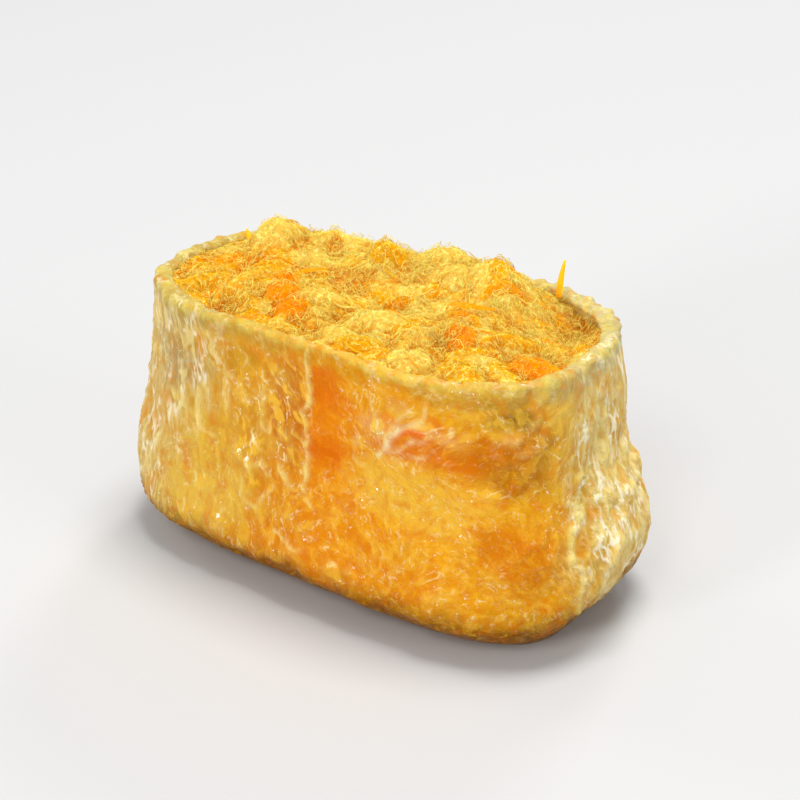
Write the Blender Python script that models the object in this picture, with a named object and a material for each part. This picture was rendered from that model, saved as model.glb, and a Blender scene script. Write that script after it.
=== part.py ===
"""Inari sushi: a simmered fried-tofu pouch, open at the top and heaped with meat floss.

Metres, +Z up. X runs along the pouch, -Y is its front, and the origin is under its middle on the table.
The pouch and the floss are each a cylinder whose rings are moved onto a path: out, up, over and in again.
"""

import math

import bmesh
import bpy
from mathutils import Vector, noise

# Driving dimensions
HEIGHT = 0.0325  # table to the rim's shoulder, averaged round the rim
WALL = 0.0018  # thickness of the tofu skin, also the width of the rim's rounded edge
CORNER_WALL = 0.0010  # extra thickness where the side turns under into the floor
FLOOR = 0.0019
GAP = 0.0004  # between the skin and the floss
RIM_SKEW = 0.04  # how far the rim's back leans to the right of its front, per unit of depth
HEAP_DIP = 0.0005  # how far under the rim's shoulder the floss meets the skin
HEAP_RISE = 0.0026  # height of the heap's broad dome

# How square the corners are, at the base and at the rim: 2 is an ellipse, and more is squarer
SQUARE_BASE = 3.7
SQUARE_RIM = {"back right": 3.1, "back left": 2.5, "front left": 3.1, "front right": 2.6}

# The outer wall, as (share of the height, then its reach to the left, right, front and back)
WALL_STATIONS = (
    (0.00, 0.0266, 0.0274, 0.0116, 0.0116),
    (0.05, 0.0290, 0.0287, 0.0142, 0.0140),
    (0.16, 0.0313, 0.0313, 0.0174, 0.0172),
    (0.36, 0.0318, 0.0328, 0.0169, 0.0167),
    (0.62, 0.0300, 0.0295, 0.0159, 0.0157),
    (0.86, 0.0290, 0.0289, 0.0155, 0.0152),
    (1.00, 0.0282, 0.0277, 0.0158, 0.0156),
)

# Waves of the rim's height, as (waves round the rim, height, turn of the first crest in degrees)
RIM_WAVES = ((1, 0.0010, -68), (2, 0.0004, 41), (3, 0.0004, 43), (8, 0.0001, 20))

# Folds in the skin, as (turn at the rim, turn at the base, half width, rise, lowest share, highest share)
FOLDS = (
    (272, 271, 3.5, 0.0005, 0.25, 0.92),
    (281, 279, 5.0, -0.0004, 0.25, 0.88),
    (248, 258, 5.0, -0.0003, 0.30, 0.80),
    (226, 240, 4.0, -0.0004, 0.30, 0.80),
    (205, 210, 5.0, -0.0005, 0.20, 0.88),
    (300, 296, 10.0, -0.0005, 0.50, 0.90),
    (397, 337, 5.0, 0.0006, 0.15, 0.60),
    (374, 322, 6.0, -0.0007, 0.30, 0.80),
    (30, 24, 5.0, -0.0005, 0.15, 0.80),
    (70, 64, 5.0, -0.0005, 0.15, 0.75),
    (112, 120, 4.0, 0.0005, 0.20, 0.90),
    (160, 166, 5.0, -0.0005, 0.15, 0.85),
)
PUCKER = 0.0004  # ripple of the skin between the folds

# Clumps of the floss, as (x, y, half width along x, half width along y, rise)
CLUMPS = (
    (-0.0170, 0.0030, 0.0043, 0.0042, 0.0042),
    (-0.0096, 0.0087, 0.0035, 0.0035, 0.0019),
    (-0.0039, 0.0052, 0.0035, 0.0039, 0.0028),
    (0.0043, 0.0070, 0.0052, 0.0043, 0.0035),
    (0.0113, 0.0074, 0.0043, 0.0039, 0.0019),
    (-0.0113, -0.0091, 0.0057, 0.0026, 0.0010),
    (-0.0187, -0.0091, 0.0035, 0.0030, -0.0012),
    (0.0026, -0.0026, 0.0061, 0.0030, -0.0009),
    (0.0096, -0.0052, 0.0061, 0.0035, 0.0014),
    (0.0209, 0.0070, 0.0048, 0.0048, -0.0019),
    (0.0222, -0.0030, 0.0052, 0.0030, -0.0003),
)
CLUMP_GRAIN = 0.0007  # height of the small lumps between the clumps
CLUMP_GRAIN_SIZE = 0.0039

# How finely the two solids are cut
AROUND = 84
OUTER_RINGS, RIM_RINGS, INNER_RINGS, HEAP_RINGS = 17, 4, 7, 13


def smooth_through(stations, share):
    """The values of the stations at this share, along a smooth curve through all of them."""
    last = len(stations) - 2
    i = min(max(sum(s[0] <= share for s in stations) - 1, 0), last)
    before, low, high, after = (stations[min(max(k, 0), last + 1)] for k in range(i - 1, i + 3))
    span = high[0] - low[0]
    t = (share - low[0]) / span
    values = []
    for a, b, c, d in zip(before[1:], low[1:], high[1:], after[1:]):
        leaving = (c - a) / (high[0] - before[0]) * span
        arriving = (d - b) / (after[0] - low[0]) * span
        values.append(
            (2 * t**3 - 3 * t**2 + 1) * b
            + (t**3 - 2 * t**2 + t) * leaving
            + (3 * t**2 - 2 * t**3) * c
            + (t**3 - t**2) * arriving
        )
    return values


def bell(distance, half_width):
    return math.exp(-((distance / half_width) ** 2))


def gentle_step(value, low, high):
    t = min(max((value - low) / (high - low), 0), 1)
    return t * t * (3 - 2 * t)


def turned_from(turn, other):
    """Degrees from other to turn, the short way round."""
    return (turn - other + 180) % 360 - 180


def skin_relief(turn, share):
    """How far the skin stands out of its smooth outline here."""
    degrees = math.degrees(turn)
    relief = 0
    for top, base, half_width, rise, low, high in FOLDS:
        line = base + (top - base) * share
        along = gentle_step(share, low - 0.1, low + 0.1) - gentle_step(share, high - 0.08, high + 0.08)
        relief += rise * along * bell(turned_from(degrees, line), half_width)
    place = Vector((3 * math.cos(turn), 3 * math.sin(turn), 2.5 * share))
    body = gentle_step(share, 0.02, 0.15)
    return relief + PUCKER * body * noise.noise(place * 1.7)


def outline(turn, share, inset=0):
    """(x, y) on the wall at this turn and share of the height, moved in by inset."""
    left, right, front, back = smooth_through(WALL_STATIONS, share)
    along, across = math.cos(turn), math.sin(turn)
    end, side = ("right" if along > 0 else "left"), ("back" if across > 0 else "front")
    reach = (right if along > 0 else left) - inset
    depth = (back if across > 0 else front) - inset
    square = SQUARE_BASE + (SQUARE_RIM[f"{side} {end}"] - SQUARE_BASE) * share
    spread = abs(along / reach) ** square + abs(across / depth) ** square
    radius = spread ** (-1 / square) + skin_relief(turn, share)
    skew = RIM_SKEW * gentle_step(share, 0.4, 1)
    return radius * (along + skew * across), radius * across


def rim_height(turn):
    waves = (
        height * math.cos(count * (turn - math.radians(crest)))
        for count, height, crest in RIM_WAVES
    )
    return HEIGHT + sum(waves)


def even_turns(count):
    """Turns that are evenly spaced along the belly's outline, and not in angle."""
    fine = 3600
    points = [Vector(outline(math.tau * i / fine, 0.36)) for i in range(fine + 1)]
    travelled = [0.0]
    for a, b in zip(points, points[1:]):
        travelled.append(travelled[-1] + (b - a).length)
    turns, i = [], 0
    for k in range(count):
        wanted = travelled[-1] * k / count
        while travelled[i + 1] < wanted:
            i += 1
        part = (wanted - travelled[i]) / (travelled[i + 1] - travelled[i])
        turns.append(math.tau * (i + part) / fine)
    return turns


def outer_point(turn, share):
    return Vector((*outline(turn, share), share * rim_height(turn)))


def lip_point(turn, bend):
    """On the rim's rounded edge, where bend runs from 0 outside to pi inside."""
    x, y = outline(turn, 1, WALL / 2 * (1 - math.cos(bend)))
    return Vector((x, y, rim_height(turn) + WALL / 2 * math.sin(bend)))


def inner_point(turn, rise, gap=0):
    """On the wall's inner face, where rise runs from 0 at the floor to 1 at the rim."""
    top = rim_height(turn)
    z = FLOOR + gap + rise * (top - FLOOR - gap)
    inset = WALL + gap + CORNER_WALL * (1 - rise) ** 2
    return Vector((*outline(turn, z / top, inset), z))


def heap_height(x, y, turn, nearness):
    """Height of the floss, where nearness runs from 0 at the skin to 1 in the middle."""
    edge = rim_height(turn) - HEAP_DIP
    middle = HEIGHT + HEAP_RISE
    body = gentle_step(nearness, 0, 0.55)
    clumps = sum(
        rise * math.exp(-(((x - cx) / wide) ** 2) - ((y - cy) / deep) ** 2)
        for cx, cy, wide, deep, rise in CLUMPS
    )
    grain = CLUMP_GRAIN * noise.noise(Vector((x, y, 0)) / CLUMP_GRAIN_SIZE)
    return edge + (middle - edge) * body + (clumps + grain) * gentle_step(nearness, 0, 0.25)


def heap_point(turn, spread):
    """On top of the floss, where spread runs from 1 at the skin to 0 in the middle."""
    edge = inner_point(turn, 1, GAP)
    x, y = edge.x * spread, edge.y * spread
    return Vector((x, y, heap_height(x, y, turn, 1 - spread)))


def pouch_rings(turn):
    """The pouch's path at one turn: up the outside, over the rim, and down inside to the floor."""
    outer = [(i / OUTER_RINGS) ** 1.15 for i in range(OUTER_RINGS + 1)]
    bends = [math.pi * i / RIM_RINGS for i in range(1, RIM_RINGS)]
    rises = [1 - i / INNER_RINGS for i in range(INNER_RINGS + 1)]
    return (
        [outer_point(turn, share) for share in outer]
        + [lip_point(turn, bend) for bend in bends]
        + [inner_point(turn, rise) for rise in rises]
    )


def floss_rings(turn):
    """The floss's path at one turn: up along the skin, then over the heap to its middle."""
    rises = [i / INNER_RINGS for i in range(INNER_RINGS + 1)]
    spreads = [1 - i / HEAP_RINGS for i in range(1, HEAP_RINGS)]
    return (
        [inner_point(turn, rise, GAP) for rise in rises]
        + [heap_point(turn, spread) for spread in spreads]
    )


def solid_of_rings(name, rings_at, material, pole=None):
    """A closed cylinder whose rings follow rings_at. Its top cap is flat, or is drawn to a pole."""
    turns = even_turns(AROUND)
    paths = [rings_at(turn) for turn in turns]
    count = len(paths[0])
    bm = bmesh.new()
    bmesh.ops.create_cone(bm, cap_ends=True, segments=AROUND, radius1=1, radius2=1, depth=1)
    upright = [e for e in bm.edges if abs(e.verts[0].co.z - e.verts[1].co.z) > 0.5]
    bmesh.ops.subdivide_edges(bm, edges=upright, cuts=count - 2, use_grid_fill=True)
    top = max(bm.faces, key=lambda face: face.calc_center_median().z)
    cap = bmesh.ops.poke(bm, faces=[top])["verts"] if pole else []
    for vert in bm.verts:
        if vert in cap:
            vert.co = pole
            continue
        step = round(math.atan2(vert.co.y, vert.co.x) / math.tau * AROUND) % AROUND
        ring = round((vert.co.z + 0.5) * (count - 1))
        vert.co = paths[step][ring]
    bmesh.ops.recalc_face_normals(bm, faces=bm.faces)
    mesh = bpy.data.meshes.new(name)
    bm.to_mesh(mesh)
    bm.free()
    mesh.shade_smooth()
    mesh.materials.append(material)
    return bpy.data.objects.new(name, mesh)


def food_material(name, colour, roughness):
    material = bpy.data.materials.new(name)
    material.use_nodes = True
    shader = material.node_tree.nodes["Principled BSDF"]
    shader.inputs["Base Color"].default_value = (*colour, 1)
    shader.inputs["Roughness"].default_value = roughness
    shader.inputs["Metallic"].default_value = 0
    return material


def tofu_pouch():
    tofu = food_material("tofu_skin", (0.72, 0.36, 0.06), 0.35)
    return solid_of_rings("tofu_pouch", pouch_rings, tofu)


def floss_filling():
    floss = food_material("meat_floss", (0.86, 0.47, 0.06), 0.8)
    middle = Vector((0, 0, heap_height(0, 0, 0, 1)))
    return solid_of_rings("floss_filling", floss_rings, floss, pole=middle)


def centre_over_origin(pieces):
    """Moves the pieces together so that their box is centred on the Z axis."""
    corners = [vert.co for piece in pieces for vert in piece.data.vertices]
    shift = Vector((0, 0, 0))
    for axis in range(2):
        sides = [corner[axis] for corner in corners]
        shift[axis] = -(min(sides) + max(sides)) / 2
    for piece in pieces:
        piece.location = shift


def main():
    for leftover in list(bpy.data.objects):
        bpy.data.objects.remove(leftover)
    sushi = bpy.data.collections.new("inari_sushi")
    bpy.context.scene.collection.children.link(sushi)
    pieces = [tofu_pouch(), floss_filling()]
    centre_over_origin(pieces)
    for piece in pieces:
        sushi.objects.link(piece)


main()
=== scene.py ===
import itertools
import math

import bmesh
import bpy
import numpy as np
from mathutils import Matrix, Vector


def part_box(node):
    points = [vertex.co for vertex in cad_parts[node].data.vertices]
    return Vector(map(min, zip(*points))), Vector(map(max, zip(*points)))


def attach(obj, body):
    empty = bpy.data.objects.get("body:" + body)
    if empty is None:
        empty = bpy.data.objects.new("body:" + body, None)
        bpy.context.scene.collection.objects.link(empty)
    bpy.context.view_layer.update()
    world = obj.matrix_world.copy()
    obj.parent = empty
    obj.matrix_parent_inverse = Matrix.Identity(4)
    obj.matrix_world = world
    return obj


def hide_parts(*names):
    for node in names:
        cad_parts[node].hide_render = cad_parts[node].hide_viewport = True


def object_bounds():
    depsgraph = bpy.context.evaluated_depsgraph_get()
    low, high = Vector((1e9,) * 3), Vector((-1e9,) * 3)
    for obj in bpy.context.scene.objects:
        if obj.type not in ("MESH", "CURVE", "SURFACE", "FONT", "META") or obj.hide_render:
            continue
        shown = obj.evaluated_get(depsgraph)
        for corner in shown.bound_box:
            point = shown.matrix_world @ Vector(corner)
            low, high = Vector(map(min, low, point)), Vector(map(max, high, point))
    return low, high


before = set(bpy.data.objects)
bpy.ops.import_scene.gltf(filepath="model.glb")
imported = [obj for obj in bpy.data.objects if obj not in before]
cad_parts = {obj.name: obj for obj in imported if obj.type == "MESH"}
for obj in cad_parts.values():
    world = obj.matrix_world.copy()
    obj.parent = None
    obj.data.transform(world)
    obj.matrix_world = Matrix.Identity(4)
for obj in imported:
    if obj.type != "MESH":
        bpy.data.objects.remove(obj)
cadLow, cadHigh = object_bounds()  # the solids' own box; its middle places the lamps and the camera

mm = 0.001
pouchLow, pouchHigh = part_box("tofu_pouch")


# small helpers used by every piece
def gentleStep(value, low, high):
    t = np.clip((value - low) / (high - low), 0, 1)
    return t * t * (3 - 2 * t)


def bell(distance, halfWidth):
    return np.exp(-((distance / halfWidth) ** 2))


def hill(over, up, wide, tall):
    return np.exp(-((over / wide) ** 2) - (up / tall) ** 2)


def wrapped(gap, whole):
    # the shorter way round, from minus half the whole to plus half
    return (gap + whole / 2) % whole - whole / 2


def turnedFrom(degrees, other):
    return wrapped(degrees - other, 360)


def tone(red, green, blue):
    # screen colour 0-255 to the linear colour that the shaders want
    screen = np.array((red, green, blue)) / 255
    return np.where(screen < 0.04045, screen / 12.92, ((screen + 0.055) / 1.055) ** 2.4)


def mixed(base, other, share):
    return base + (other - base) * np.asarray(share)[..., None]


noiseCells = 256
slopes = np.random.default_rng(20).normal(size=(noiseCells, 3))
slopes /= np.linalg.norm(slopes, axis=1)[:, None]
shuffled = np.random.default_rng(21).permutation(noiseCells)


def softNoise(points, size, layer=0):
    # smooth lumps from about -1 to 1, spaced by size; another layer gives another pattern
    spot = points / size + 19.7 * (layer + 1)
    cell = np.floor(spot).astype(int)
    part = spot - cell
    ease = part**3 * (part * (part * 6 - 15) + 10)
    total = np.zeros(points.shape[:-1])
    for corner in itertools.product((0, 1), repeat=3):
        x, y, z = np.moveaxis((cell + corner) % noiseCells, -1, 0)
        slope = slopes[shuffled[(shuffled[(shuffled[x] + y) % noiseCells] + z) % noiseCells]]
        weight = np.where(corner, ease, 1 - ease).prod(axis=-1)
        total += weight * ((part - corner) * slope).sum(axis=-1)
    return total * 1.7


def swirled(points, size, amount, layer):
    # the same points pushed about, so that a pattern drawn on them wanders
    push = [softNoise(points, size, layer + k) for k in range(3)]
    return points + amount * np.stack(push, axis=-1)


def ridged(points, size, layer, octaves=3):
    # 1 along thin wandering crests with finer ones branching off them, falling to 0 in the pools between
    total, weight, whole = 0.0, 1.0, 0.0
    for k in range(octaves):
        line = np.clip(1 - 2.2 * np.abs(softNoise(points, size / 2**k, layer + k)), 0, 1) ** 1.6
        total = total + weight * line * 0.62**k
        weight = np.clip(0.25 + 1.3 * line, 0, 1)
        whole += 0.62**k
    return np.clip(total / whole * 1.5, 0, 1)


def addColour(mesh, name, colour):
    layer = mesh.attributes.new(name, "FLOAT_COLOR", "POINT")
    four = np.ones((len(colour), 4))
    four[:, :3] = np.clip(colour, 0, 1)
    layer.data.foreach_set("color", four.ravel())


def addValue(mesh, name, value):
    layer = mesh.attributes.new(name, "FLOAT", "POINT")
    layer.data.foreach_set("value", np.asarray(value, dtype=np.float32))


def addPlace(mesh, name, place):
    layer = mesh.attributes.new(name, "FLOAT_VECTOR", "POINT")
    layer.data.foreach_set("vector", place.ravel())


def meshFrom(bm, name):
    mesh = bpy.data.meshes.new(name)
    bm.to_mesh(mesh)
    bm.free()
    return mesh


def pointsOf(mesh):
    place = np.zeros(len(mesh.vertices) * 3)
    mesh.vertices.foreach_get("co", place)
    return place.reshape(-1, 3)


def ringedTube(around, rings):
    # a closed tube of unit size, cut into rings that are shaped afterwards
    bm = bmesh.new()
    bmesh.ops.create_cone(bm, cap_ends=True, segments=around, radius1=1, radius2=1, depth=1)
    upright = [e for e in bm.edges if abs(e.verts[0].co.z - e.verts[1].co.z) > 0.5]
    bmesh.ops.subdivide_edges(bm, edges=upright, cuts=rings - 2, use_grid_fill=True)
    return bm


def placed(name, mesh, smooth=True):
    mesh.update()
    if smooth:
        mesh.shade_smooth()
    piece = bpy.data.objects.new(name, mesh)
    bpy.context.scene.collection.objects.link(piece)
    return piece


pouch = {
    "drawnLength": 65.2,  # the reaches below are in mm for a pouch of this length
    "around": 600,
    "rings": {"under": 9, "outside": 116, "lip": 14, "inside": 8, "floor": 2},
    "wall": 1.55,
    "thicker": ((35, 40, 0.2), (195, 45, 0.15), (290, 40, -0.15)),  # turn, half width and share more of wall
    "cornerWall": 1.2,
    "floor": 1.9,
    "height": 32.5,
    "skew": 0.04,
    "bellyShare": 0.36,  # share of the height at which the belly is measured
    "squareBase": 3.7,
    "squareRim": {"back right": 3.1, "back left": 2.5, "front left": 3.1, "front right": 2.6},
    # share of the height, then the reach to the left, right, front and back
    "stations": (
        (0.00, 26.6, 27.4, 11.6, 11.6),
        (0.05, 29.0, 28.7, 14.2, 14.0),
        (0.16, 31.3, 31.3, 17.4, 17.2),
        (0.36, 31.8, 32.8, 16.9, 16.7),
        (0.62, 30.0, 29.5, 15.9, 15.7),
        (0.86, 29.0, 28.9, 15.5, 15.2),
        (1.00, 28.2, 27.7, 15.8, 15.6),
    ),
    "rimWaves": ((1, 1.0, -68), (2, 0.4, 41), (3, 0.4, 43), (8, 0.1, 20)),
    # turn at the rim and at the base in degrees, half width, rise, lowest and highest share
    "folds": (
        (284, 281, 6.0, -0.45, 0.35, 0.92),
        (248, 258, 5.0, -0.30, 0.30, 0.80),
        (226, 240, 4.0, -0.40, 0.30, 0.80),
        (205, 210, 5.0, -0.50, 0.20, 0.88),
        (300, 296, 10.0, -0.40, 0.50, 0.90),
        (397, 337, 3.0, 0.60, 0.15, 0.62),
        (376, 326, 5.0, -0.60, 0.25, 0.80),
        (20, 8, 3.0, -0.45, 0.15, 0.70),
        (30, 24, 5.0, -0.50, 0.15, 0.80),
        (70, 64, 5.0, -0.50, 0.15, 0.75),
        (112, 120, 4.0, 0.50, 0.20, 0.90),
        (160, 166, 5.0, -0.50, 0.15, 0.85),
    ),
    # rises and sizes in mm of the soft puckers and of the fine wrinkles
    "pucker": 0.34, "puckerSize": 5.5,
    "wrinkle": 0.30, "wrinkleSize": 3.0,
    "endWrinkle": 0.32, "endWrinkleSize": 1.1,
}
unit = (pouchHigh.x - pouchLow.x) / pouch["drawnLength"]  # one drawn millimetre, in metres


def reachesAt(share):
    # left, right, front and back reach at each share, on a smooth curve through the stations
    table = np.array(pouch["stations"])
    at, reach = table[:, 0], table[:, 1:]
    i = np.clip(np.searchsorted(at, share, side="right") - 1, 0, len(at) - 2)
    before, after = np.maximum(i - 1, 0), np.minimum(i + 2, len(at) - 1)
    span = at[i + 1] - at[i]
    t = ((share - at[i]) / span)[..., None]
    leaving = (reach[i + 1] - reach[before]) * (span / (at[i + 1] - at[before]))[..., None]
    arriving = (reach[after] - reach[i]) * (span / (at[after] - at[i]))[..., None]
    curve = (2 * t**3 - 3 * t**2 + 1) * reach[i] + (t**3 - 2 * t**2 + t) * leaving
    curve += (3 * t**2 - 2 * t**3) * reach[i + 1] + (t**3 - t**2) * arriving
    return np.moveaxis(curve, -1, 0)


def outline(turn, share, inset=0.0):
    # x and y on the wall in drawn mm, before the pouch is slid over the middle of its box
    left, right, front, back = reachesAt(share)
    along, across = np.cos(turn), np.sin(turn)
    reach = np.where(along > 0, right, left) - inset
    depth = np.where(across > 0, back, front) - inset
    rim = pouch["squareRim"]
    rimSquare = np.where(
        across > 0,
        np.where(along > 0, rim["back right"], rim["back left"]),
        np.where(along > 0, rim["front right"], rim["front left"]),
    )
    square = pouch["squareBase"] + (rimSquare - pouch["squareBase"]) * share
    spread = np.abs(along / reach) ** square + np.abs(across / depth) ** square
    radius = spread ** (-1 / square)
    skew = pouch["skew"] * gentleStep(share, 0.4, 1)
    return radius * (along + skew * across), radius * across


def wallAt(turn):
    # thinner at the front, thicker at the left and the back right
    degrees = np.degrees(turn)
    more = sum(share * bell(turnedFrom(degrees, middle), half) for middle, half, share in pouch["thicker"])
    return pouch["wall"] * (1 + more)


def rimHeight(turn):
    waves = (rise * np.cos(count * (turn - math.radians(crest))) for count, rise, crest in pouch["rimWaves"])
    return pouch["height"] + sum(waves)


def wayRound(samples):
    # turns round the belly, and how far along its skin each one is, in mm
    fine = np.linspace(0, math.tau, samples)
    x, y = outline(fine, np.full(fine.shape, pouch["bellyShare"]))
    return fine, np.concatenate(([0], np.cumsum(np.hypot(np.diff(x), np.diff(y)))))


def evenTurns(count):
    # turns spaced evenly along the belly and not in angle
    fine, travelled = wayRound(3601)
    return np.interp(np.arange(count) / count * travelled[-1], travelled, fine)


def pouchPath():
    # every ring of the pouch from the middle of its underside, up, over the rim and down inside
    turn = evenTurns(pouch["around"])
    rings = pouch["rings"]
    wall, top = wallAt(turn), rimHeight(turn)
    whole = np.ones_like(turn)
    rows = []
    for k in range(rings["under"]):
        x, y = outline(turn, 0 * whole)
        size = (k + 1) / (rings["under"] + 1)
        rows.append((x * size, y * size, 0 * whole, 0 * whole, "under"))
    for k in range(rings["outside"]):
        share = (k / (rings["outside"] - 1)) ** 1.1 * whole
        rows.append((*outline(turn, share), share * top, share, "outside"))
    for k in range(1, rings["lip"]):
        bend = math.pi * k / rings["lip"]
        x, y = outline(turn, whole, wall / 2 * (1 - math.cos(bend)))
        rows.append((x, y, top + 0.4 * wall * math.sin(bend) ** 0.8, whole + bend / math.pi, "lip"))
    for k in range(rings["inside"]):
        rise = 1 - (k / (rings["inside"] - 1)) ** 1.6
        z = pouch["floor"] + rise * (top - pouch["floor"])
        x, y = outline(turn, z / top, wall + pouch["cornerWall"] * (1 - rise) ** 2)
        rows.append((x, y, z, 2 * whole, "inside"))
    for k in range(rings["floor"]):
        size = 1 - (k + 1) / (rings["floor"] + 1)
        rows.append((x * size, y * size, z, 2 * whole, "floor"))
    points = np.array([row[:3] for row in rows]).transpose(0, 2, 1) * unit
    share = np.array([row[3] for row in rows])
    kinds = np.array([row[4] for row in rows])
    return turn, points, share, kinds


turnOfColumn, pouchPoints, pouchShare, ringKind = pouchPath()
slide = np.zeros(3)  # moves the drawn pouch over the middle of its own box
for k in (0, 1):
    slide[k] = (pouchLow[k] + pouchHigh[k] - pouchPoints[..., k].min() - pouchPoints[..., k].max()) / 2
pouchPoints = pouchPoints + slide


def facing(points):
    # unit normals of a grid of rings, pointing out of the wall
    along = np.roll(points, -1, axis=1) - np.roll(points, 1, axis=1)
    up = np.gradient(points, axis=0)
    normal = np.cross(along, up)
    return normal / (np.linalg.norm(normal, axis=2, keepdims=True) + 1e-12)


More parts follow.
